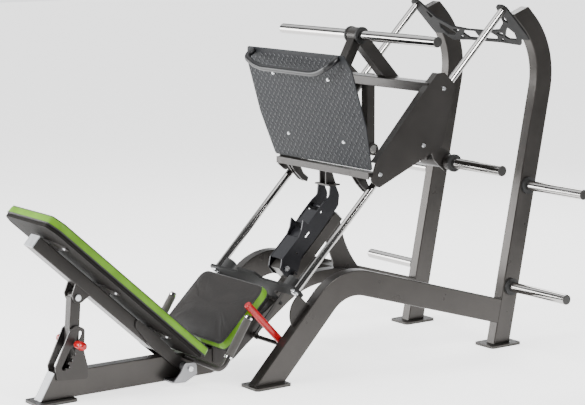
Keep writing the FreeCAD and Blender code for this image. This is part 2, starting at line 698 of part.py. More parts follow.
def backrest():
    half_tube = BACK_TUBE_W / 2
    start = on_back(182, 0)
    end = on_back(984, 0)
    outer, inner = bent_tube([start, end], [], 60.0, -half_tube, half_tube)
    tube = soften(outer, [start, end]).cut(inner)
    cap = bent_solid([end, on_back(990, 0)], [], 60.0, -half_tube, half_tube)
    parts["back_tube"] = tube
    parts["back_tube_cap"] = soften(cap, [], 2.5)

    arm_points = [on_back(-26, -24), on_back(-26, 24), on_back(90, 24), on_back(150, 30), on_back(360, 30),
                  on_back(330, -6), on_back(200, -30)]
    arm = prism(half_tube, half_tube + PLATE, arm_points, [23, 23, 20, 20, 12, 20, 30])
    arm = arm.cut(cross_rod(0, 80, PIVOT, PIVOT_R + FIT))

    low_half = [(BACK_HALF, BACK_LOW), (BACK_HALF, 1022.0), (190.0, BACK_HIGH)]
    outline = low_half + [(-x, a) for x, a in reversed(low_half)]
    radii = [34, 60, 26, 26, 60, 34]
    parts["back_pad"] = sheet_shape(on_back, outline, radii, 60.0, 60.0 + PAD_THICK)
    inset = 9.0
    half = BACK_HALF - inset
    board_half = [(half, BACK_LOW + 20.0), (half, 1018.0), (184.0, BACK_HIGH - inset)]
    board_outline = board_half + [(-x, a) for x, a in reversed(board_half)]
    parts["back_board"] = sheet_shape(on_back, board_outline, [28, 54, 20, 20, 54, 28], 46.0, 60.0)

    tabs = []
    screws = []
    for along in (210.0, 560.0, 900.0):
        tip = [(-150, along - 10), (-60, along - 30), (60, along - 30), (150, along - 10)]
        outline = tip + [(x, 2 * along - a) for x, a in reversed(tip)]
        plate = sheet_shape(on_back, outline, [9, 60, 60, 9, 9, 60, 60, 9], 39.0, 46.0)
        tabs.append(plate.fuse(slab(on_back, -38.0, 38.0, along - 27, along + 27, 30.0, 39.0)))
        for x in (-120.0, 120.0):
            y, z = on_back(along, 39)
            dy = math.sin(math.radians(BACK_ANGLE))
            dz = math.cos(math.radians(BACK_ANGLE))
            screws.append(cap_screw((x, y, z), (0, -dy, -dz), 4.0, 18.0, 8.0, 4.5))
    parts["back_tabs"] = group(*[tab.cut(group(*screws)) for tab in tabs])
    parts["back_board"] = parts["back_board"].cut(group(*screws))
    parts["back_screws"] = group(*screws)

    strut_pin = on_back(*STRUT_AT)
    lug_outline = ((615, -30), (705, -30), (688, -78), (658, -98), (628, -78))
    lug = prism(30.0, 38.0, [on_back(*point) for point in lug_outline], [0, 0, 14, 26, 14])
    lug = lug.cut(cross_rod(0, 60, strut_pin, PEG_R))
    parts["back_arms"] = group(both(arm), both(lug))
    pin = cross_rod(-38.0, 38.0, strut_pin, PEG_R)
    heads = both(cross_rod(38.0, 46.0, strut_pin, 14.0))
    parts["strut_pin"] = pin.fuse(heads.Solids)


def pivot_hardware():
    """The shaft through the base beam, and the folded brackets that carry its outer ends."""
    shaft = cross_rod(-118.0, 118.0, PIVOT, PIVOT_R)
    parts["pivot_shaft"] = shaft
    gap = BACK_TUBE_W / 2 + PLATE + ARM_GAP
    sleeve = ring(gap, 102.0, PIVOT, 21.0, PIVOT_R)
    inner_sleeve = ring(TUBE_W / 2, BACK_TUBE_W / 2 - ARM_GAP, PIVOT, 21.0, PIVOT_R)
    end_outline = [(-706, 17), (-640, 13), (-575, 44), (-578, 98), (-640, 104), (-662, 62)]
    end = prism(102.0, 110.0, end_outline, [6, 20, 10, 18, 18, 14])
    end = end.cut(cross_rod(0, 130, PIVOT, PIVOT_R))
    floor_outline = [(-706, 17), (-640, 13), (-575, 44), (-577, 52), (-640, 21), (-706, 25)]
    floor_plate = prism(TUBE_W / 2, 102.0, floor_outline, [0, 20, 0, 0, 12, 0])
    parts["pivot_brackets"] = group(both(end.fuse(floor_plate).fuse(sleeve)), both(inner_sleeve))


def adjuster():
    """Slotted plates on the base beam that the strut's peg climbs through."""
    x0 = TUBE_W / 2
    outline = [
        (-1262, 100), (-1268, 158), (-1190, 318), (-1158, 336), (-1116, 318),
        (-1122, 214), (-1106, 150), (-1106, 96), (-1114, 88),
    ]
    plate = prism(x0, x0 + PLATE, outline, [6, 14, 26, 24, 22, 60, 30, 6, 6])
    slot = slot_cutter(SLOT_BOTTOM, SLOT_TOP, SLOT_R, x0 - 5, x0 + PLATE + 5)
    dy = SLOT_TOP[0] - SLOT_BOTTOM[0]
    dz = SLOT_TOP[1] - SLOT_BOTTOM[1]
    length = math.hypot(dy, dz)
    for share in (0.08, 0.27, 0.46, 0.65):
        y = SLOT_BOTTOM[0] + dy * share
        z = SLOT_BOTTOM[1] + dz * share
        notch = (y + dz / length * 17.0, z - dy / length * 17.0)
        slot = slot.fuse(slot_cutter((y, z), notch, 9.0, x0 - 5, x0 + PLATE + 5))
    parts["adjuster_plates"] = both(plate.cut(slot))


def slot_cutter(low, high, radius, x0, x1):
    dy = high[0] - low[0]
    dz = high[1] - low[1]
    length = math.hypot(dy, dz)
    ny = -dz / length * radius
    nz = dy / length * radius
    outline = [(low[0] + ny, low[1] + nz), (low[0] - ny, low[1] - nz), (high[0] - ny, high[1] - nz),
               (high[0] + ny, high[1] + nz)]
    body = prism(x0, x1, outline)
    return body.fuse([cross_rod(x0, x1, low, radius), cross_rod(x0, x1, high, radius)])


def strut():
    top = on_back(*STRUT_AT)
    sleeve = ring(-29.5, 29.5, top, 19.0, PEG_R + FIT)
    low = extended(top, PEG, 26.0)
    half = 25.0
    outer, inner = bent_tube([top, low], [], 50.0, -half, half, 2.5)
    tube = soften(outer, [top, low], 4.0).cut(inner)
    tube = tube.cut(cross_rod(-60, 60, top, 19.0)).cut(cross_rod(-60, 60, PEG, PEG_R))
    tube = max(tube.Solids, key=lambda s: s.Volume)
    parts["strut_tube"] = tube.fuse(sleeve)
    parts["adjuster_peg"] = cross_rod(-110.0, 110.0, PEG, PEG_R)
    profile = [(44.0, 11.0), (50.0, 15.5), (64.0, 18.5), (90.0, 19.5), (110.0, 17.5), (122.0, 10.0)]
    grip = turned(profile, PEG).cut(cross_rod(0, 110.0, PEG, PEG_R))
    parts["peg_grips"] = both(grip)


def turned(profile, at):
    """A knob turned about an axis along X; profile lists (x, radius) from one end to the other."""
    points = [Vector(x, at[0], at[1] + radius) for x, radius in profile]
    curve = Part.BSplineCurve()
    curve.interpolate(points)
    start = Vector(profile[0][0], at[0], at[1])
    end = Vector(profile[-1][0], at[0], at[1])
    edges = [Part.LineSegment(start, points[0]).toShape(), curve.toShape(),
             Part.LineSegment(points[-1], end).toShape(), Part.LineSegment(end, start).toShape()]
    return Part.Face(Part.Wire(edges)).revolve(start, Vector(1, 0, 0), 360)


# Sled -------------------------------------------------------------------------------------------------

SIDE_OUTLINE = [
    (620, 1380), (662, 1380), (724, 1322), (724, 1290), (650, 1030),
    (268, 862), (222, 900), (252, 984), (530, 1290),
]
SIDE_RADII = [14, 16, 16, 20, 30, 20, 16, 20, 60]
UPPER_Y = (562.0, 652.0)
UPPER_Z = (1290.0, 1335.0)
STILE_Y = (655.0, 705.0)
SIDE_SCREWS = [(658.0, 1304.0), (536.0, 1042.0), (276.0, 925.0)]
STILE_X = 236.0
REAR_LEG_END = (655.0, 1300.0)
COLLAR_HALF = 36.0
COLLAR_R = 37.5


def sled_side_plates():
    x0 = SLED_PLATE_X
    plate = prism(x0, x0 + PLATE, SIDE_OUTLINE, SIDE_RADII)
    fold = prism(x0 - 34.0, x0, [(252, 984), (530, 1290), (620, 1380), (626, 1374), (536, 1284), (258, 978)],
                 [0, 60, 0, 0, 60, 0])
    return plate.fuse(fold)


def bearing(along):
    """A housing with a flat side that bolts to the sled's side plate, and its plain bush."""
    low = along - BEARING_LEN / 2
    high = along + BEARING_LEN / 2
    shell = on_rod_bar(ROD_X, low, high, HOUSING_R)
    block = slab(on_rod, ROD_X, SLED_PLATE_X, low, high, -27.0, 27.0)
    housing = shell.fuse(block).cut(on_rod_bar(ROD_X, low - 1, high + 1, BUSH_R))
    bush = on_rod_bar(ROD_X, low, high, BUSH_R).cut(on_rod_bar(ROD_X, low - 1, high + 1, ROD_R + FIT))
    wipers = []
    for start, end in ((low - 5.0, low), (high, high + 5.0)):
        wiper = on_rod_bar(ROD_X, start, end, 27.0).cut(on_rod_bar(ROD_X, start - 1, end + 1, ROD_R + 0.4))
        wipers.append(wiper)
    return housing, bush, wipers


def sled(foot_screws):
    housings = []
    bushes = []
    wipers = []
    for along in BEARING_S:
        housing, bush, pair = bearing(along)
        housings.append(both(housing))
        bushes.append(both(bush))
        for wiper in pair:
            wipers.append(both(wiper))
    screws = []
    for y, z in SIDE_SCREWS:
        screws.append(cap_screw((SLED_PLATE_X + PLATE, y, z), (1, 0, 0), 6.0, PLATE, 11.0, 6.0))
    screw_group = group(*screws)
    cross_solid = box(-SLED_PLATE_X, SLED_PLATE_X, UPPER_Y[0], UPPER_Y[1], UPPER_Z[0], UPPER_Z[1])
    plate = sled_side_plates().cut(screw_group).cut(cross_solid)
    parts["sled_side_plates"] = both(plate)
    parts["bearing_housings"] = group(*housings)
    parts["bearing_bushes"] = group(*bushes)
    parts["bearing_wipers"] = group(*wipers)

    parts["sled_screws"] = group(both(screw_group), *foot_screws)

    x1 = SLED_PLATE_X
    cross = box(-x1, x1, UPPER_Y[0], UPPER_Y[1], UPPER_Z[0], UPPER_Z[1])
    cross = cross.makeFillet(4.0, [e for e in cross.Edges if e.BoundBox.XLength > 100])
    core = box(-x1 - 1, x1 + 1, UPPER_Y[0] + WALL, UPPER_Y[1] - WALL, UPPER_Z[0] + WALL, UPPER_Z[1] - WALL)

    stile = box(STILE_X - 25, STILE_X + 25, STILE_Y[0], STILE_Y[1], SLED_HORN[1], UPPER_Z[1] - 4)
    stile = stile.makeFillet(4.0, [e for e in stile.Edges if e.BoundBox.ZLength > 100])
    link = box(STILE_X - 25, STILE_X + 25, UPPER_Y[1], STILE_Y[0], UPPER_Z[0] + 3, UPPER_Z[1] - 4)
    root = SLED_PLATE_X + 43.0
    horn_tube = ring(STILE_X - 34, root, SLED_HORN, 31.0, SPIGOT_R)
    solid_horn = cross_rod(STILE_X - 60, 500, SLED_HORN, 31.0)
    y0, y1 = STILE_Y
    hollow = box(STILE_X - 22, STILE_X + 22, y0 + WALL, y1 - WALL, SLED_HORN[1] - 10, UPPER_Z[1] - 7)
    right_stile = stile.cut(hollow).fuse(link).cut(solid_horn)
    parts["sled_crossbar"] = cross.cut(core).fuse([right_stile, mirrored(right_stile)])
    web_outline = [(585, 1014), (650, 1024), (704, 996), (730, 955), (716, 914), (672, 908), (610, 962)]
    web = prism(SLED_PLATE_X - PLATE, SLED_PLATE_X, web_outline, [16, 20, 30, 30, 24, 24, 40])
    collar = ring(SLED_PLATE_X + PLATE, root, SLED_HORN, COLLAR_R, SPIGOT_R)
    parts["sled_horn_tubes"] = both(horn_tube.fuse([web.cut(solid_horn), collar]))

    horn = weight_horn(STILE_X - 30, root + WASHER, HORN_END_X, SLED_HORN)
    top_shoulder = COLLAR_HALF + 11.0
    top_bar = weight_horn(0.5, top_shoulder, TOP_BAR_END_X, TOP_BAR)
    parts["sled_horns"] = both(horn, top_bar)
    washer = ring(root, root + WASHER, SLED_HORN, WASHER_R, SPIGOT_R)
    top_washer = ring(COLLAR_HALF, top_shoulder, TOP_BAR, 41.0, SPIGOT_R)
    parts["sled_horn_washers"] = both(washer, top_washer)
    parts["sled_horn_caps"] = both(end_cap(HORN_END_X, SLED_HORN), end_cap(TOP_BAR_END_X, TOP_BAR))


def sled_middle():
    """The collar that joins the two halves of the top bar, and the two legs that hold it."""
    collar = ring(-COLLAR_HALF, COLLAR_HALF, TOP_BAR, COLLAR_R, SPIGOT_R)
    around = cross_rod(-120.0, 120.0, TOP_BAR, COLLAR_R)
    parts["sled_collar"] = collar

    rear_outer, rear_inner = bent_tube([TOP_BAR, REAR_LEG_END], [], 66.0, -30.0, 30.0)
    above = box(-60, 60, 300, 900, UPPER_Z[1], 1800)
    rear = soften(rear_outer, [TOP_BAR, REAR_LEG_END], 4.0).cut(rear_inner).common(above).cut(around)
    rear_leg = max(rear.Solids, key=lambda s: s.Volume)

    landing = on_foot(372.0, FOOT_THICK + 40.0)
    front_outer, front_inner = bent_tube([TOP_BAR, landing], [], 50.0, -28.0, 28.0)
    behind = slab(on_foot, -100, 100, -200, 900, FOOT_THICK + 34.0, 900)
    front = soften(front_outer, [TOP_BAR, landing], 4.0).cut(front_inner).common(behind)
    front = front.cut(around).cut(rear_outer)
    parts["sled_legs"] = group(rear_leg, max(front.Solids, key=lambda s: s.Volume))


FOOT_SCREWS = [(x, down) for x in (-222.0, 222.0) for down in (126.0, 438.0)]


def footplate():
    length = math.hypot(FOOT_BOTTOM[0] - FOOT_TOP[0], FOOT_BOTTOM[1] - FOOT_TOP[1])
    half = [(388, 0), (421, 70), (426, 345), (388, length)]
    outline = half + [(-x, a) for x, a in reversed(half)]
    radii = [12, 30, 60, 14, 14, 60, 30, 12]
    plate = sheet_shape(on_foot, outline, radii, 0.0, FOOT_THICK)
    front = on_foot(0.0, 0.0)
    back = on_foot(0.0, 1.0)
    out = (0, front[0] - back[0], front[1] - back[1])
    screws = []
    for x, down in FOOT_SCREWS:
        y, z = on_foot(down, 0.0)
        screws.append(cap_screw((x, y, z), out, 5.0, FOOT_THICK + 4.0, 10.0, 5.0))
    screw_group = group(*screws)
    parts["footplate"] = plate.cut(screw_group)
    outer = []
    inner = []
    low = FOOT_THICK
    high = FOOT_THICK + 34.0
    for x in (-222.0, 222.0):
        outer.append(slab(on_foot, x - 20, x + 20, 70.0, length - 4, low, high))
        inner.append(slab(on_foot, x - 17, x + 17, 65.0, length + 4, low + WALL, high - WALL))
    for down in (110.0, 372.0):
        outer.append(slab(on_foot, -202.0, 202.0, down - 25, down + 25, low, high))
        inner.append(slab(on_foot, -202.0, 202.0, down - 22, down + 22, low + WALL, high - WALL))
    frame = outer[0].fuse(outer[1:]).cut(inner)
    parts["footplate_frame"] = group(frame.cut(screw_group))
    return screws


def foot_handle():
    """The bent bar above the footplate's top edge, for getting in and out."""
    def at(x, down, out):
        y, z = on_foot(down, -out)
        return (x, y, z)

    left = [at(-338, 16, 0), at(-338, 30, 58), at(-236, 74, 64)]
    points = left + [(-x, y, z) for x, y, z in reversed(left)]
    return round_bar(points, [38, 280, 280, 38], 15.0).cut(parts["footplate"])


CHANNEL_Y = (212.0, 262.0)
CHANNEL_Z = (906.0, 938.0)


def lower_channel():
    """The folded channel across the bottom of the sled, with its claws and the rest for the safety stop."""
    x1 = SLED_PLATE_X
    channel = box(-x1, x1, CHANNEL_Y[0], CHANNEL_Y[1], CHANNEL_Z[0], CHANNEL_Z[1])
    core = box(-x1 - 1, x1 + 1, CHANNEL_Y[0] + 5, CHANNEL_Y[1] - 5, CHANNEL_Z[0] - 1, CHANNEL_Z[1] - 5)
    claw_outline = [(212, 906), (262, 906), (284, 862), (314, 838), (306, 816), (276, 830), (236, 872)]
    claws = []
    for x in (BUMPER_X - 20, BUMPER_X + 8):
        claws.append(prism(x, x + 12, claw_outline, [0, 0, 20, 6, 6, 20, 16]))
    foot = prism(-58.0, 58.0, [(218, 836), (284, 836), (284, 844), (218, 844)])
    web_outline = [(222, 844), (280, 844), (257, 906), (257, 930), (222, 930)]
    webs = []
    for x in (-28.0, 20.0):
        webs.append(prism(x, x + 8, web_outline, [0, 0, 10, 0, 0]))
    welded = claws + [mirrored(claw) for claw in claws] + [foot] + webs
    parts["sled_channel"] = channel.cut(core).fuse(welded)


# Safety stop ------------------------------------------------------------------------------------------

STOP_OUTLINE = [
    (-64, 462), (-54, 512), (44, 608), (60, 640), (70, 690), (98, 662), (122, 692),
    (190, 760), (224, 784), (230, 835.5), (264, 835.5), (284, 790), (278, 738),
    (238, 692), (131, 579), (63, 517), (30, 424), (4, 416), (-40, 430),
]
STOP_RADII = [18, 8, 8, 8, 3, 8, 8, 30, 20, 4, 10, 26, 24, 20, 30, 20, 12, 12, 30]


def safety_stop():
    plate = prism(STOP_X, STOP_X + STOP_PLATE, STOP_OUTLINE, STOP_RADII)
    for at, radius in ((STOP_HINGE, 8.0 + FIT), ((176.0, 716.0), 7.0), ((30.0, 530.0), 6.0)):
        plate = plate.cut(cross_rod(0, 80, at, radius))
    plate = plate.cut(slot_cutter((86.0, 604.0), (104.0, 622.0), 6.0, 0, 80))
    arm_pin = cross_rod(STOP_X, LINK_X[1] + 2.0, LINK_HIGH, LINK_PIN_R)
    right_plate = plate.fuse(arm_pin)
    parts["stop_plates"] = group(right_plate, mirrored(plate))
    inner = STOP_X
    covers = [
        prism(-inner, inner, [(-52, 512), (44, 606), (50, 600), (-46, 506)]),
        prism(-inner, inner, [(99, 664), (158, 723), (164, 717), (105, 658)]),
        prism(-inner, inner, [(56, 604), (92, 641), (97, 636), (61, 599)]),
    ]
    spacer = cross_rod(-inner, inner, (204.0, 734.0), 9.0)
    parts["stop_covers"] = group(*covers, spacer)


def stop_hinge(spine_outer):
    """The block welded to the spine and the pin that the safety stop turns on."""
    block = slab(on_rod, -38.0, 38.0, 286.0, 340.0, -128.0, -48.0)
    block = block.cut(cross_rod(-80, 80, STOP_HINGE, 8.0)).cut(spine_outer)
    block = max(block.Solids, key=lambda s: s.Volume)
    parts["spine"] = group(parts.pop("spine_tube"), block, parts.pop("spine_gusset"))
    pin = cross_rod(-56.0, 56.0, STOP_HINGE, 8.0)
    washers = both(ring(38.0, 43.5, STOP_HINGE, 16.0, 8.0))
    heads = both(cross_rod(52.5, 60.0, STOP_HINGE, 13.0))
    parts["stop_hinge_pin"] = group(pin.fuse(heads.Solids), washers)


# Release ----------------------------------------------------------------------------------------------

LEVER_TIP = (-414.0, 379.0)
LINK_LOW = (-220.0, 172.3)
LINK_HIGH = (14.0, 436.0)
LINK_X = (62.0, 70.0)
LINK_PIN_R = 4.0
CRANK_X = (52.0, 60.0)


def release():
    shaft = cross_rod(-46.0, RELEASE_X - 8, RELEASE, RELEASE_R - FIT)
    dy = LEVER_TIP[0] - RELEASE[0]
    dz = LEVER_TIP[1] - RELEASE[1]
    length = math.hypot(dy, dz)
    unit = (dy / length, dz / length)

    def at(distance):
        return (RELEASE_X, RELEASE[0] + unit[0] * distance, RELEASE[1] + unit[1] * distance)

    hub = cross_rod(RELEASE_X - 8, RELEASE_X + 8, RELEASE, 17.0)
    stem = rod(at(0.0), at(length - 6), 8.0)
    grip = rod(at(34.0), at(length), 17.0)
    ends = [e for e in grip.Edges if e.Length > 80 and len(e.Vertexes) == 1]
    parts["release_grip"] = grip.makeFillet(5.0, ends).cut(stem)
    crank = slot_cutter(RELEASE, LINK_LOW, 13.0, CRANK_X[0], CRANK_X[1])
    crank_pin = cross_rod(CRANK_X[0], LINK_X[1] + 2.0, LINK_LOW, LINK_PIN_R)
    collar = ring(-46.0, -40.0, RELEASE, 16.0, RELEASE_R - FIT)
    parts["release_lever"] = shaft.fuse([hub, stem, crank, crank_pin, collar])

    bar = slot_cutter(LINK_LOW, LINK_HIGH, 8.0, LINK_X[0], LINK_X[1])
    bar = bar.fuse(cross_rod(LINK_X[0], LINK_X[1], LINK_HIGH, 11.0))
    bar = bar.cut(cross_rod(0, 100, LINK_LOW, LINK_PIN_R + FIT))
    parts["release_link"] = bar.cut(cross_rod(0, 100, LINK_HIGH, LINK_PIN_R + 2.2))


side_post, post_outer, side_arch, arch_solid = side_frames()
parts["uprights"] = both(side_post)
parts["side_arches"] = both(side_arch)
horns, washers, caps = storage_horns(SIDE_X + TUBE_W / 2)
parts["storage_horns"] = horns
parts["storage_horn_washers"] = washers
parts["storage_horn_caps"] = caps
feet()
parts["base_beam"] = base_beam()
parts["centre_arch"], centre_solid = centre_arch()
parts["cross_tube"] = cross_tube()
parts["spine_tube"], spine_cap, spine_outer = spine(centre_solid)
parts["spine_gusset"] = spine_gusset(centre_solid, spine_outer)
parts["tube_caps"] = group(rear_cap(), spine_cap)
parts["lower_rod_plate"] = lower_plate().cut(spine_outer).cut(centre_solid)
parts["upper_rod_plate"] = upper_plate().cut(both(post_outer))
parts["rod_screws"] = rod_screws()
parts["rod_gussets"] = both(rod_gusset(arch_solid)).cut(parts["rod_screws"])
parts["guide_rods"] = both(guide_rods())
parts["bumpers"] = bumpers()
seat()
seat_handles()
backrest()
pivot_hardware()
adjuster()
strut()
sled(footplate())
sled_middle()
parts["foot_handle"] = foot_handle()
lower_channel()
safety_stop()
stop_hinge(spine_outer)
release()

os.makedirs("parts", exist_ok=True)
for node, shape in parts.items():
    shape.translate(Vector(0, ORIGIN_Y, 0))
    shape.exportStep("parts/" + node + ".step")
    print(node, len(shape.Solids), shape.isValid(), round(shape.Volume / 1000.0, 1), "cm3")
whole = Part.makeCompound(list(parts.values())).optimalBoundingBox()
print("nodes", len(parts), "box", whole.XMin, whole.XMax, whole.YMin, whole.YMax, whole.ZMin, whole.ZMax)
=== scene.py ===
import json
import math

import bmesh
import bpy
import numpy as np
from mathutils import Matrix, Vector


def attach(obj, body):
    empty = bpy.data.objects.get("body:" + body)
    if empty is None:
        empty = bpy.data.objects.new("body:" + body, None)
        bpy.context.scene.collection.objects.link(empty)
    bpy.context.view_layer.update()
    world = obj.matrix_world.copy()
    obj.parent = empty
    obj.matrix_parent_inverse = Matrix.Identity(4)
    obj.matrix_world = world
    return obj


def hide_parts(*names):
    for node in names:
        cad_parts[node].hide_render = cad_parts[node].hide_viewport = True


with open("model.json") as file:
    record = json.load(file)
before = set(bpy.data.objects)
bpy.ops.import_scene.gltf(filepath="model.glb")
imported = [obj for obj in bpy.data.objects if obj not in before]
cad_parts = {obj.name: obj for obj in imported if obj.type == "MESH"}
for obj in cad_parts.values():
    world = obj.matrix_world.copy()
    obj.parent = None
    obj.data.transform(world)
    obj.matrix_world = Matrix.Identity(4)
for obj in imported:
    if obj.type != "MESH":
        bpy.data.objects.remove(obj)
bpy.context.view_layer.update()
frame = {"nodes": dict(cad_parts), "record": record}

# Metres. X is the user's right, Y runs from the back pad to the uprights, Z is up.
ORIGIN_Y = 0.007375
SEAT_REAR = (-0.560, 0.195)
SEAT_ANGLE = math.radians(44.0)
PIVOT = (-0.612, 0.074)
BACK_ANGLE = math.radians(41.8)
FOOT_TOP = (0.054, 1.488)
FOOT_BOTTOM = (0.219, 0.949)
GRIP_X = 0.322
GRIP_LOW = (-0.545, 0.155)
GRIP_HIGH = (-0.430, 0.328)
PAD_THICK = 0.052
CAP_STEPS = 18           # rings between a cushion's seam and its middle line
CORD_R = 0.0024          # piping along the cushions' seams
SEAM_INSET = 0.0065
SEAM_DROP = 0.0060       # the top seam lies this far below the pad's CAD face
CROWN = 0.006
LOZENGE = (0.0125, 0.0042)
ROW_PITCH = 0.0185
COLUMN_PITCH = 0.0370
PLATE_SCREW_X = 0.222
PLATE_SCREW_DOWN = (0.126, 0.438)
PLATE_SCREW_CLEAR = 0.021
HANDLE_FOOT = (0.338, 0.044)   # where the foot handle is welded to the plate
HANDLE_CLEAR = 0.030
GRIP_CAP = 0.0092        # foam stops this far from each end of the grip's tube
CAMERA_DISTANCE = 9.07375
CAMERA_ROLL = math.radians(-0.229)
HELD = 0.0065            # the cushions are held to their boards below this height

nodes = frame["nodes"]


# Materials --------------------------------------------------------------------------------------------

def new_material(name):
    mat = bpy.data.materials.new(name)
    mat.use_nodes = True
    tree = mat.node_tree
    shader = tree.nodes["Principled BSDF"]
    return mat, tree, shader


def coordinates(tree, scale):
    coord = tree.nodes.new("ShaderNodeTexCoord")
    mapping = tree.nodes.new("ShaderNodeMapping")
    mapping.inputs["Scale"].default_value = scale
    tree.links.new(coord.outputs["Object"], mapping.inputs["Vector"])
    return mapping.outputs["Vector"]


def noise(tree, scale, detail=3.0, stretch=(1.0, 1.0, 1.0)):
    tex = tree.nodes.new("ShaderNodeTexNoise")
    tex.inputs["Scale"].default_value = scale
    tex.inputs["Detail"].default_value = detail
    tree.links.new(coordinates(tree, stretch), tex.inputs["Vector"])
    return tex.outputs["Fac"]


def remap(tree, value, low, high):
    node = tree.nodes.new("ShaderNodeMapRange")
    node.inputs["From Min"].default_value = 0.3
    node.inputs["From Max"].default_value = 0.7
    node.inputs["To Min"].default_value = low
    node.inputs["To Max"].default_value = high
    tree.links.new(value, node.inputs["Value"])
    return node.outputs["Result"]


def tint(tree, shader, value, dark, light):
    ramp = tree.nodes.new("ShaderNodeValToRGB")
    ramp.color_ramp.elements[0].position = 0.3
    ramp.color_ramp.elements[0].color = (*dark, 1.0)
    ramp.color_ramp.elements[1].position = 0.7
    ramp.color_ramp.elements[1].color = (*light, 1.0)
    tree.links.new(value, ramp.inputs["Fac"])
    tree.links.new(ramp.outputs["Color"], shader.inputs["Base Color"])


def bump(tree, shader, height, strength, distance):
    node = tree.nodes.new("ShaderNodeBump")
    node.inputs["Strength"].default_value = strength
    node.inputs["Distance"].default_value = distance
    tree.links.new(height, node.inputs["Height"])
    tree.links.new(node.outputs["Normal"], shader.inputs["Normal"])


def paint(name, color, metallic=0.55, rough=(0.30, 0.40), grain=0.25, gloss=0.30, coat=0.10):
    """Powder coat: fine orange peel, metallic flake tint and slightly uneven gloss."""
    mat, tree, shader = new_material(name)
    shader.inputs["Metallic"].default_value = metallic
    shader.inputs["Specular IOR Level"].default_value = gloss
    shader.inputs["Coat Weight"].default_value = coat
    shader.inputs["Coat Roughness"].default_value = 0.22
    broad = noise(tree, 7.0)
    dark = tuple(c * 0.90 for c in color)
    light = tuple(min(1.0, c * 1.10) for c in color)
    tint(tree, shader, broad, dark, light)
    tree.links.new(remap(tree, broad, *rough), shader.inputs["Roughness"])
    bump(tree, shader, noise(tree, 900.0, 2.0), grain, 0.0004)
    return mat


def metal(name, color, rough, stretch=(1.0, 1.0, 1.0), grain=0.05):
    """Bare or plated metal with faint turning marks along stretch."""
    mat, tree, shader = new_material(name)
    shader.inputs["Metallic"].default_value = 1.0
    shader.inputs["Base Color"].default_value = (*color, 1.0)
    marks = noise(tree, 260.0, 2.0, stretch)
    tree.links.new(remap(tree, marks, *rough), shader.inputs["Roughness"])
    bump(tree, shader, marks, grain, 0.0003)
    return mat


def plain(name, color, rough, scale=500.0, grain=0.2, sheen=0.0):
    """Rubber, foam or plastic with a fine moulded texture."""
    mat, tree, shader = new_material(name)
    broad = noise(tree, 30.0)
    tint(tree, shader, broad, tuple(c * 0.85 for c in color), tuple(min(1.0, c * 1.15) for c in color))
    tree.links.new(remap(tree, broad, rough - 0.05, rough + 0.05), shader.inputs["Roughness"])
    shader.inputs["Sheen Weight"].default_value = sheen
    bump(tree, shader, noise(tree, scale, 3.0), grain, 0.0006)
    return mat


def leather(name, color, rough):
    """Soft upholstery vinyl: pebbled cells over a slow unevenness."""
    mat, tree, shader = new_material(name)
    broad = noise(tree, 9.0, 4.0)
    tint(tree, shader, broad, tuple(c * 0.82 for c in color), tuple(min(1.0, c * 1.18) for c in color))
    tree.links.new(remap(tree, broad, rough - 0.06, rough + 0.06), shader.inputs["Roughness"])
    shader.inputs["Sheen Weight"].default_value = 0.0
    shader.inputs["Specular IOR Level"].default_value = 0.22
    cells = tree.nodes.new("ShaderNodeTexVoronoi")
    cells.inputs["Scale"].default_value = 620.0
    tree.links.new(coordinates(tree, (1.0, 1.0, 1.0)), cells.inputs["Vector"])
    bump(tree, shader, cells.outputs["Distance"], 0.35, 0.0006)
    return mat


look = {
    "frame_grey": paint("gunmetal_paint", (0.048, 0.044, 0.041), 0.60, (0.27, 0.35)),
    "black_paint": paint("mechanism_paint", (0.036, 0.033, 0.031), 0.50, (0.32, 0.42)),
    "light_paint": paint("light_grey_paint", (0.26, 0.26, 0.27), 0.7, (0.26, 0.34)),
    "hard_chrome": metal("hard_chrome", (0.42, 0.41, 0.40), (0.08, 0.14), (0.15, 6.0, 6.0)),
    "zinc_steel": metal("zinc_steel", (0.66, 0.67, 0.69), (0.20, 0.32)),
    "black_rubber": plain("black_rubber", (0.012, 0.012, 0.012), 0.62),
    "cap_plastic": plain("cap_plastic", (0.020, 0.019, 0.018), 0.45, 700.0, 0.1),
    "light_plastic": plain("light_plastic", (0.42, 0.43, 0.45), 0.35, 700.0, 0.08),
    "bush_plastic": plain("bush_plastic", (0.50, 0.46, 0.38), 0.5),
    "foam_grip": plain("foam_grip", (0.050, 0.046, 0.042), 0.82, 900.0, 0.7, 0.25),
    "bright_ring": metal("bright_ring", (0.86, 0.86, 0.87), (0.12, 0.20)),
    "red_grip": plain("red_grip", (0.36, 0.002, 0.005), 0.26, 500.0, 0.12),
    "dark_leather": leather("dark_leather", (0.015, 0.013, 0.012), 0.50),
    "board": paint("board_stain", (0.011, 0.010, 0.009), 0.0, (0.62, 0.72), 0.4, 0.08, 0.0),
    "tread_paint": paint("tread_paint", (0.016, 0.017, 0.019), 0.12, (0.42, 0.52), 0.25, 0.12, 0.0),
}
stop_black = paint("stop_black_paint", (0.016, 0.016, 0.019), 0.35, (0.30, 0.40))
# Painted shade: a darker, matt copy of the mechanism paint for the rod plates, whose faces turn down away
# from the light.
shaded_plate_black = paint("shaded_plate_black_paint", (0.014, 0.014, 0.014), 0.0, (0.52, 0.62), 0.25, 0.12, 0.0)
handle_black = paint("handle_black_paint", (0.012, 0.012, 0.013), 0.20, (0.28, 0.36))
# Painted highlight: the tread's raised lozenges get a lighter, more metallic copy of the footplate's paint.
lozenge_highlight_paint = paint("lozenge_highlight_paint", (0.034, 0.035, 0.038), 0.42, (0.28, 0.36))
green_leather = leather("green_leather", (0.118, 0.272, 0.016), 0.36)
piping_black = plain("piping_black", (0.012, 0.011, 0.010), 0.45, 800.0, 0.3)

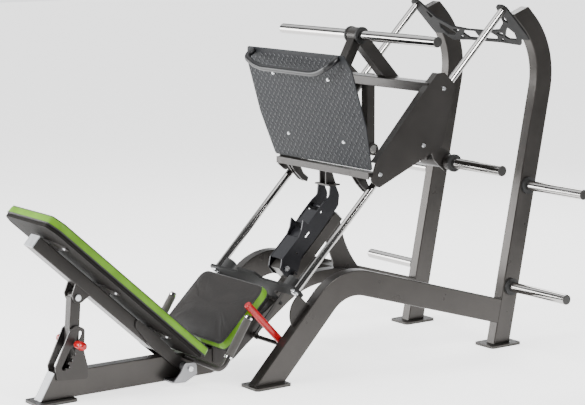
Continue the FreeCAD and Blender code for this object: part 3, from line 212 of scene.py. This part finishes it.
slot_of = {row["node"]: row["material_slot"] for row in frame["record"]["subparts"]}
for node, obj in nodes.items():
    obj.data.materials.clear()
    obj.data.materials.append(look[slot_of[node]])
for node in ("stop_plates", "stop_covers"):
    nodes[node].data.materials[0] = stop_black
nodes["foot_handle"].data.materials[0] = handle_black
# The rod plates take the darker copy of the mechanism paint: painted shade.
for node in ("lower_rod_plate", "upper_rod_plate"):
    nodes[node].data.materials[0] = shaded_plate_black


# Local axes -------------------------------------------------------------------------------------------

def seat_axes():
    origin = Vector((0.0, SEAT_REAR[0] + ORIGIN_Y, SEAT_REAR[1]))
    along = Vector((0.0, math.cos(SEAT_ANGLE), math.sin(SEAT_ANGLE)))
    out = Vector((0.0, -math.sin(SEAT_ANGLE), math.cos(SEAT_ANGLE)))
    return origin - out * PAD_THICK, along, out


def back_axes():
    along = Vector((0.0, -math.cos(BACK_ANGLE), math.sin(BACK_ANGLE)))
    out = Vector((0.0, math.sin(BACK_ANGLE), math.cos(BACK_ANGLE)))
    return Vector((0.0, PIVOT[0] + ORIGIN_Y, PIVOT[1])) + out * 0.060, along, out


def foot_axes():
    down = Vector((0.0, FOOT_BOTTOM[0] - FOOT_TOP[0], FOOT_BOTTOM[1] - FOOT_TOP[1]))
    length = down.length
    down.normalize()
    out = Vector((0.0, down.z, -down.y))
    return Vector((0.0, FOOT_TOP[0] + ORIGIN_Y, FOOT_TOP[1])), down, out, length


def rounded_outline(corners, radii, steps=10):
    """Points of a polygon (x, along) with round corners, anticlockwise or clockwise as given."""
    points = []
    count = len(corners)
    for i in range(count):
        corner = Vector(corners[i])
        back = (Vector(corners[i - 1]) - corner).normalized()
        ahead = (Vector(corners[(i + 1) % count]) - corner).normalized()
        half = math.acos(max(-1.0, min(1.0, back.dot(ahead)))) / 2
        reach = radii[i] / math.tan(half)
        centre = corner + (back + ahead).normalized() * (radii[i] / math.sin(half))
        start = corner + back * reach - centre
        end = corner + ahead * reach - centre
        sweep = start.angle_signed(end)
        for k in range(steps + 1):
            turn = -sweep * k / steps
            c, s = math.cos(turn), math.sin(turn)
            points.append(centre + Vector((start.x * c - start.y * s, start.x * s + start.y * c)))
    return points


def even(points, spacing):
    """The closed line resampled at an even spacing."""
    loop = points + [points[0]]
    lengths = [0.0]
    for a, b in zip(loop, loop[1:]):
        lengths.append(lengths[-1] + (b - a).length)
    total = lengths[-1]
    count = max(8, round(total / spacing))
    result = []
    i = 0
    for k in range(count):
        at = total * k / count
        while lengths[i + 1] < at:
            i += 1
        span = lengths[i + 1] - lengths[i]
        share = 0.0 if span < 1e-9 else (at - lengths[i]) / span
        result.append(loop[i].lerp(loop[i + 1], share))
    return result


def inside(points, xs, ys):
    """Which of the (xs, ys) lie inside the closed outline."""
    result = np.zeros(len(xs), dtype=bool)
    for a, b in zip(points, points[1:] + points[:1]):
        if abs(b.y - a.y) < 1e-12:
            continue
        crosses = (a.y > ys) != (b.y > ys)
        at = a.x + (ys - a.y) * (b.x - a.x) / (b.y - a.y)
        result ^= crosses & (xs < at)
    return result


# Cushions ---------------------------------------------------------------------------------------------

def placed(point, height, axes):
    """A point (x, along) of a pad at a height above its board."""
    origin, along, out = axes
    return origin + Vector((point.x, 0, 0)) + along * point.y + out * height


def loft(name, rings, axes, low_ring, seam_ring):
    """A closed mesh through rings of (points, height); only low_ring to seam_ring take the first material."""
    mesh = bpy.data.meshes.new(name)
    bm = bmesh.new()
    levels = []
    for points, height in rings:
        levels.append([bm.verts.new(placed(p, height, axes)) for p in points])
    for i, (low, high) in enumerate(zip(levels, levels[1:])):
        count = len(low)
        for k in range(count):
            face = bm.faces.new((low[k], low[(k + 1) % count], high[(k + 1) % count], high[k]))
            face.material_index = int(i < low_ring or i >= seam_ring)
            face.smooth = True
    for ring in (levels[0][::-1], levels[-1]):
        face = bm.faces.new(ring)
        face.material_index = 1
        face.smooth = True
    bmesh.ops.recalc_face_normals(bm, faces=bm.faces)
    bm.to_mesh(mesh)
    bm.free()
    obj = bpy.data.objects.new(name, mesh)
    bpy.context.scene.collection.objects.link(obj)
    return obj


def drawn_in(seam, corners, share):
    """The seam line moved towards the middle line of the pad by a share of the way."""
    lows = min(c[1] for c in corners)
    highs = max(c[1] for c in corners)
    mid = (lows + highs) / 2
    half_v = (highs - lows) / 2
    half_x = max(c[0] for c in corners)
    spare_x = max(0.0, half_x - half_v)
    spare_v = max(0.0, half_v - half_x)
    points = []
    for p in seam:
        middle = Vector((max(-spare_x, min(spare_x, p.x)), mid + max(-spare_v, min(spare_v, p.y - mid))))
        points.append(p.lerp(middle, share))
    return points


def shrunk(points, amount):
    """The outline moved inwards."""
    count = len(points)
    area = sum(points[i - 1].x * points[i].y - points[i].x * points[i - 1].y for i in range(count))
    sign = 1.0 if area > 0 else -1.0
    result = []
    for i in range(count):
        d = (points[(i + 1) % count] - points[i - 1]).normalized()
        result.append(points[i] + Vector((-d.y, d.x)) * amount * sign)
    return result


def apply_modifiers(obj):
    bpy.context.view_layer.update()
    depsgraph = bpy.context.evaluated_depsgraph_get()
    mesh = bpy.data.meshes.new_from_object(obj.evaluated_get(depsgraph))
    obj.modifiers.clear()
    old = obj.data
    obj.data = mesh
    bpy.data.meshes.remove(old)


def inflate(obj, cap):
    """Runs the cloth under pressure and keeps each point within cap of where it started."""
    start = np.empty(len(obj.data.vertices) * 3)
    obj.data.vertices.foreach_get("co", start)
    cloth = obj.modifiers.new("cloth", "CLOTH")
    cloth.settings.quality = 5
    cloth.settings.mass = 0.3
    cloth.settings.tension_stiffness = 18.0
    cloth.settings.compression_stiffness = 18.0
    cloth.settings.shear_stiffness = 8.0
    cloth.settings.bending_stiffness = 1.2
    cloth.settings.use_pressure = True
    cloth.settings.uniform_pressure_force = 4.0
    cloth.settings.effector_weights.gravity = 0.0
    cloth.settings.vertex_group_mass = "held"
    cloth.collision_settings.use_collision = False
    cloth.point_cache.frame_start = 1
    cloth.point_cache.frame_end = 20
    for number in range(1, 21):
        bpy.context.scene.frame_set(number)
    apply_modifiers(obj)
    moved = np.empty_like(start)
    obj.data.vertices.foreach_get("co", moved)
    step = (moved - start).reshape(-1, 3)
    size = np.linalg.norm(step, axis=1, keepdims=True)
    step *= np.minimum(1.0, cap / np.maximum(size, 1e-9))
    obj.data.vertices.foreach_set("co", (start.reshape(-1, 3) + step).ravel())
    bpy.context.scene.frame_set(1)


def pipe(name, points, radius, sides=8):
    """A round closed cord of mesh along points."""
    mesh = bpy.data.meshes.new(name)
    bm = bmesh.new()
    rings = []
    count = len(points)
    for i, p in enumerate(points):
        along = (points[(i + 1) % count] - points[i - 1]).normalized()
        side = along.cross(Vector((0.0, 0.6, 0.8)))
        if side.length < 0.2:
            side = along.cross(Vector((1.0, 0.0, 0.0)))
        side.normalize()
        up = side.cross(along)
        ring = []
        for k in range(sides):
            turn = 2 * math.pi * k / sides
            ring.append(bm.verts.new(p + (side * math.cos(turn) + up * math.sin(turn)) * radius))
        rings.append(ring)
    for i in range(count):
        a, b = rings[i], rings[(i + 1) % count]
        shift = 0
        if i == count - 1:
            shift = min(range(sides), key=lambda s: (b[s].co - a[0].co).length)
        for k in range(sides):
            bm.faces.new((a[k], a[(k + 1) % sides], b[(k + 1 + shift) % sides], b[(k + shift) % sides]))
    bmesh.ops.recalc_face_normals(bm, faces=bm.faces)
    for face in bm.faces:
        face.smooth = True
    bm.to_mesh(mesh)
    bm.free()
    obj = bpy.data.objects.new(name, mesh)
    bpy.context.scene.collection.objects.link(obj)
    return obj


def cushion(name, node, body, corners, radii, axes, crown, cap):
    """A crowned pad: dark grained top, bright sides, piping on both seams; cap limits how far it swells."""
    outline = even(rounded_outline(corners, radii), 0.007)
    thick = PAD_THICK
    seam = shrunk(outline, SEAM_INSET)
    seam_height = thick - SEAM_DROP
    rings = [
        (shrunk(outline, 0.0070), 0.0015),
        (shrunk(outline, 0.0050), 0.0060),
        (shrunk(outline, 0.0035), thick * 0.30),
        (shrunk(outline, 0.0035), thick * 0.62),
        (shrunk(outline, 0.0045), thick - 0.0140),
        (seam, seam_height),
    ]
    seam_ring = len(rings) - 1
    for step in range(1, CAP_STEPS + 1):
        share = 0.96 * step / CAP_STEPS
        rise = (crown + thick - seam_height) * (1 - (1 - share) ** 3.0)
        rings.append((drawn_in(seam, corners, share), seam_height + rise))
    pad = loft(name, rings, axes, 1, seam_ring)
    for mat in (green_leather, look["dark_leather"]):
        pad.data.materials.append(mat)
    coords = np.empty(len(pad.data.vertices) * 3)
    pad.data.vertices.foreach_get("co", coords)
    heights = (coords.reshape(-1, 3) - np.array(axes[0])) @ np.array(axes[2])
    held = pad.vertex_groups.new(name="held")
    held.add([int(i) for i in np.nonzero(heights < HELD)[0]], 1.0, "REPLACE")
    inflate(pad, cap)
    smooth = pad.modifiers.new("smooth", "SMOOTH")
    smooth.iterations = 4
    smooth.factor = 0.5
    apply_modifiers(pad)
    count = len(outline)
    cords = []
    for part, ring in (("piping", seam_ring), ("lower_piping", 1)):
        line = [pad.data.vertices[ring * count + k].co.copy() for k in range(count)]
        cord = pipe(name + "_" + part, line, CORD_R)
        cord.data.materials.append(piping_black)
        cords.append(cord)
    pad.vertex_groups.clear()
    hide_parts(node)
    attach(pad, body)
    for cord in cords:
        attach(cord, body)
    return pad


seat_corners = [(-0.266, 0.014), (0.266, 0.014), (0.266, 0.372), (-0.266, 0.372)]
seat_radii = [0.030, 0.030, 0.055, 0.055]
cushion("seat_cushion", "seat_pad", "frame", seat_corners, seat_radii, seat_axes(), CROWN, 0.0028)
back_half = [(0.228, 0.030), (0.228, 1.022), (0.190, 1.080)]
back_corners = back_half + [(-x, a) for x, a in reversed(back_half)]
back_radii = [0.034, 0.060, 0.026, 0.026, 0.060, 0.034]
cushion("back_cushion", "back_pad", "backrest", back_corners, back_radii, back_axes(), CROWN, 0.0035)



# Foam grips -------------------------------------------------------------------------------------------

def lathe(name, start, end, profile, sides=40):
    """A turned shape between two points; profile lists (share of length, radius)."""
    along = (end - start).normalized()
    side = along.cross(Vector((1.0, 0.0, 0.0))).normalized()
    up = side.cross(along)
    bm = bmesh.new()
    rings = []
    for share, radius in profile:
        centre = start.lerp(end, share)
        rings.append([bm.verts.new(centre + (side * math.cos(2 * math.pi * k / sides)
                                             + up * math.sin(2 * math.pi * k / sides)) * radius)
                      for k in range(sides)])
    for a, b in zip(rings, rings[1:] + rings[:1]):
        for k in range(sides):
            bm.faces.new((a[k], a[(k + 1) % sides], b[(k + 1) % sides], b[k]))
    bmesh.ops.recalc_face_normals(bm, faces=bm.faces)
    for face in bm.faces:
        face.smooth = True
    mesh = bpy.data.meshes.new(name)
    bm.to_mesh(mesh)
    bm.free()
    obj = bpy.data.objects.new(name, mesh)
    bpy.context.scene.collection.objects.link(obj)
    return obj


for side, sign in (("right", 1.0), ("left", -1.0)):
    low = Vector((sign * GRIP_X, GRIP_LOW[0] + ORIGIN_Y, GRIP_LOW[1]))
    high = Vector((sign * GRIP_X, GRIP_HIGH[0] + ORIGIN_Y, GRIP_HIGH[1]))
    unit = (high - low).normalized()
    profile = [(0.0, 0.0137), (0.0, 0.0160), (0.012, 0.0176), (0.03, 0.0182)]
    profile += [(0.03 + 0.94 * k / 12, 0.0182 + 0.0009 * math.sin(math.pi * k / 12)) for k in range(1, 12)]
    profile += [(0.97, 0.0182), (0.988, 0.0176), (1.0, 0.0160), (1.0, 0.0137)]
    grip = lathe(side + "_foam_grip", low + unit * GRIP_CAP, high - unit * GRIP_CAP, profile)
    grip.data.materials.append(look["foam_grip"])
    if sign > 0:
        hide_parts("seat_handle_grips")
    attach(grip, "frame")


# Raised tread on the footplate ------------------------------------------------------------------------

def tread():
    """Rows of small raised lozenges that turn left and right in turn."""
    origin, down, out, length = foot_axes()
    across = Vector((1.0, 0.0, 0.0))
    half = [(0.388, 0.0), (0.421, 0.070), (0.426, 0.345), (0.388, length)]
    corners = half + [(-x, a) for x, a in reversed(half)]
    radii = [0.012, 0.030, 0.060, 0.014, 0.014, 0.060, 0.030, 0.012]
    edge = shrunk(rounded_outline(corners, radii), 0.014)
    screws = [(x, d) for x in (-PLATE_SCREW_X, PLATE_SCREW_X) for d in PLATE_SCREW_DOWN]
    bm = bmesh.new()
    cols = range(-12, 13)
    for row in range(int(length / ROW_PITCH) + 1):
        for col in cols:
            x = (col + 0.5 * (row % 2)) * COLUMN_PITCH
            a = (row + 0.6) * ROW_PITCH
            if not inside(edge, np.array([x]), np.array([a]))[0]:
                continue
            if any(math.hypot(x - sx, a - sa) < PLATE_SCREW_CLEAR for sx, sa in screws):
                continue
            if abs(abs(x) - HANDLE_FOOT[0]) < HANDLE_CLEAR and a < HANDLE_FOOT[1]:
                continue
            turn = math.radians(42.0 if row % 2 else -42.0)
            u = across * math.cos(turn) + down * math.sin(turn)
            v = down * math.cos(turn) - across * math.sin(turn)
            centre = origin + across * x + down * a
            rings = []
            for size, height in ((1.0, 0.0), (0.78, 0.0012), (0.40, 0.0019)):
                ring = []
                for k in range(10):
                    angle = 2 * math.pi * k / 10
                    lengthwise = u * (LOZENGE[0] * size * math.cos(angle))
                    offset = lengthwise + v * (LOZENGE[1] * size * math.sin(angle))
                    ring.append(bm.verts.new(centre + offset + out * height))
                rings.append(ring)
            for p, q in zip(rings, rings[1:]):
                for k in range(10):
                    bm.faces.new((p[k], p[(k + 1) % 10], q[(k + 1) % 10], q[k]))
            bm.faces.new(rings[-1])
            bm.faces.new(rings[0][::-1])
    bmesh.ops.recalc_face_normals(bm, faces=bm.faces)
    for face in bm.faces:
        face.smooth = True
    mesh = bpy.data.meshes.new("footplate_tread")
    bm.to_mesh(mesh)
    bm.free()
    obj = bpy.data.objects.new("footplate_tread", mesh)
    bpy.context.scene.collection.objects.link(obj)
    # The lozenges take the lighter paint: painted highlight on their raised tops.
    obj.data.materials.append(lozenge_highlight_paint)
    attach(obj, "sled")


tread()


# Stage ------------------------------------------------------------------------------------------------

bpy.ops.mesh.primitive_plane_add(size=60.0, location=(0.0, 0.0, 0.0))
floor = bpy.context.object
floor.name = "floor"
floor_mat, floor_tree, floor_shader = new_material("floor_pale_glowing")
floor_shader.inputs["Base Color"].default_value = (0.88, 0.88, 0.87, 1.0)
floor_shader.inputs["Roughness"].default_value = 0.75
# Painted light: the floor glows with emission strength 1.9 out to x = 1.15 m, fading to none by x = 2.3 m, so
# it shines up onto the machine and shows in its reflections.
floor_shader.inputs["Emission Color"].default_value = (1.0, 1.0, 1.0, 1.0)
floor_x = floor_tree.nodes.new("ShaderNodeSeparateXYZ")
floor_glow = floor_tree.nodes.new("ShaderNodeMapRange")
floor_glow.interpolation_type = "SMOOTHSTEP"
floor_glow.inputs["From Min"].default_value = 1.15
floor_glow.inputs["From Max"].default_value = 2.3
floor_glow.inputs["To Min"].default_value = 1.9
floor_glow.inputs["To Max"].default_value = 0.0
floor_tree.links.new(coordinates(floor_tree, (1.0, 1.0, 1.0)), floor_x.inputs["Vector"])
floor_tree.links.new(floor_x.outputs["X"], floor_glow.inputs["Value"])
floor_tree.links.new(floor_glow.outputs["Result"], floor_shader.inputs["Emission Strength"])
floor.data.materials.append(floor_mat)


def studio_world():
    """A bright backdrop behind the machine and a dim room in front, with bands of light and shade above."""
    world = bpy.data.worlds.new("studio")
    bpy.context.scene.world = world
    world.use_nodes = True
    tree = world.node_tree
    background = tree.nodes["Background"]
    background.inputs["Color"].default_value = (0.97, 0.985, 1.0, 1.0)
    coord = tree.nodes.new("ShaderNodeTexCoord")
    facing = tree.nodes.new("ShaderNodeVectorMath")
    facing.operation = "DOT_PRODUCT"
    facing.inputs[1].default_value = (-0.98, 0.20, 0.0)
    side = tree.nodes.new("ShaderNodeMapRange")
    side.interpolation_type = "SMOOTHSTEP"
    side.inputs["From Min"].default_value = -0.20
    side.inputs["From Max"].default_value = 0.70
    side.inputs["To Min"].default_value = 0.16
    side.inputs["To Max"].default_value = 1.9
    split = tree.nodes.new("ShaderNodeSeparateXYZ")
    bands = tree.nodes.new("ShaderNodeValToRGB")
    ramp = bands.color_ramp
    ramp.elements[0].position = 0.0
    ramp.elements[0].color = (1.0, 1.0, 1.0, 1.0)
    ramp.elements[1].position = 1.0
    ramp.elements[1].color = (0.9, 0.9, 0.9, 1.0)
    for height, level in ((0.14, 1.0), (0.24, 0.12), (0.46, 0.10), (0.58, 0.95), (0.72, 0.95), (0.82, 0.15)):
        ramp.elements.new(height).color = (level, level, level, 1.0)
    strength = tree.nodes.new("ShaderNodeMath")
    strength.operation = "MULTIPLY"
    tree.links.new(coord.outputs["Generated"], facing.inputs[0])
    tree.links.new(coord.outputs["Generated"], split.inputs["Vector"])
    tree.links.new(facing.outputs["Value"], side.inputs["Value"])
    tree.links.new(split.outputs["Z"], bands.inputs["Fac"])
    tree.links.new(side.outputs["Result"], strength.inputs[0])
    tree.links.new(bands.outputs["Color"], strength.inputs[1])
    tree.links.new(strength.outputs["Value"], background.inputs["Strength"])


studio_world()


def area_light(name, location, target, size, power):
    data = bpy.data.lights.new(name, "AREA")
    data.shape = "RECTANGLE"
    data.size = size[0]
    data.size_y = size[1]
    data.energy = power
    obj = bpy.data.objects.new(name, data)
    obj.location = location
    obj.rotation_euler = (Vector(target) - Vector(location)).to_track_quat("-Z", "Y").to_euler()
    bpy.context.scene.collection.objects.link(obj)


area_light("key", (-1.2, -5.6, 3.6), (0.0, 0.0, 0.8), (2.6, 1.8), 560.0)
area_light("left_fill", (-4.6, -3.4, 1.3), (0.0, 0.0, 0.9), (2.6, 2.2), 190.0)
area_light("side_strip", (4.6, 1.2, 3.4), (0.0, 0.2, 0.8), (0.9, 2.6), 210.0)
area_light("back_rim", (-2.5, 4.6, 3.6), (0.0, 0.2, 0.9), (3.5, 1.6), 160.0)
area_light("top", (0.0, -0.4, 5.0), (0.0, 0.0, 0.0), (3.5, 3.5), 120.0)

target = Vector((0.05342, 0.00598 + ORIGIN_Y, 0.77819))
azimuth = math.radians(54.572)
elevation = math.radians(9.019)
back = Vector((math.sin(azimuth) * math.cos(elevation), -math.cos(azimuth) * math.cos(elevation),
               math.sin(elevation)))
camera_data = bpy.data.cameras.new("camera")
camera_data.lens = 118.14
camera_data.sensor_width = 36.0
camera_data.clip_end = 100.0
camera = bpy.data.objects.new("camera", camera_data)
camera.location = target + back * CAMERA_DISTANCE
turn = back.to_track_quat("Z", "Y")
camera.rotation_euler = turn.to_euler()
camera.rotation_euler.rotate_axis("Z", CAMERA_ROLL)
bpy.context.scene.collection.objects.link(camera)
bpy.context.scene.camera = camera
